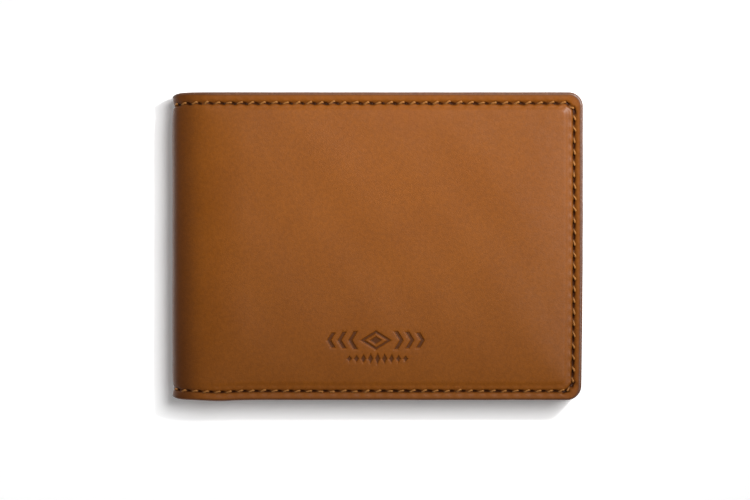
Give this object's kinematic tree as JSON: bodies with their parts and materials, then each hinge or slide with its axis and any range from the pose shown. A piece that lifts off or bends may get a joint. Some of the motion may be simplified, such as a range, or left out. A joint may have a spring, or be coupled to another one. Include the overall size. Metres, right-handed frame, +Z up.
{
  "type": "bifold wallet",
  "caption": "Closed leather bifold wallet that folds open flat, with a full-length bill compartment and stepped card pockets inside each half.",
  "frame": {"origin": "middle of the closed wallet's footprint, on the surface that it lies on", "axes": "+X from the fold to the open edge, +Y to the mouth of the bill compartment, +Z up, out of the front cover"},
  "size_m": [0.114, 0.0856, 0.0128],
  "materials": {
    "cover_leather": "smooth tan leather, satin",
    "inner_leather": "smooth tan leather, satin",
    "lining": "dark brown twill, matt",
    "stiffener": "bonded leather board, matt",
    "edge_paint": "dark brown edge paint, satin",
    "thread": "tan waxed polyester thread"
  },
  "bodies": {
    "back_half": {"back_cover_leather": "cover_leather", "back_cover_stiffener": "stiffener", "back_cover_lining": "lining", "back_bill_panel": "inner_leather", "back_pocket_base": "inner_leather", "back_upper_pocket_fabric": "lining", "back_upper_pocket_leather": "inner_leather", "back_middle_pocket_fabric": "lining", "back_middle_pocket_leather": "inner_leather", "back_lower_pocket_leather": "inner_leather", "back_edge_paint": "edge_paint", "back_cover_thread": "thread", "back_pocket_thread": "thread"},
    "front_half": {"front_cover_leather": "cover_leather", "front_cover_stiffener": "stiffener", "front_cover_lining": "lining", "front_bill_panel": "inner_leather", "front_pocket_base": "inner_leather", "front_upper_pocket_fabric": "lining", "front_upper_pocket_leather": "inner_leather", "front_middle_pocket_fabric": "lining", "front_middle_pocket_leather": "inner_leather", "front_lower_pocket_leather": "inner_leather", "front_edge_paint": "edge_paint", "front_cover_thread": "thread", "front_pocket_thread": "thread"},
    "spine": {"spine_leather": "cover_leather", "spine_lining": "lining", "spine_bill_panel": "inner_leather", "spine_thread": "thread"}
  },
  "joints": [
    {"name": "fold", "type": "hinge", "parent": "back_half", "child": "spine", "pos_m": [-0.0559, 0, 0.0042], "axis": [0, -1, 0], "range_deg": [0, 90]},
    {"name": "fold_2", "type": "hinge", "parent": "spine", "child": "front_half", "pos_m": [-0.0559, 0, 0.0086], "axis": [0, -1, 0], "range_deg": [0, 90]}
  ],
  "couplings": [
    {"joint": "fold_2", "follows": "fold", "ratio": 1}
  ]
}
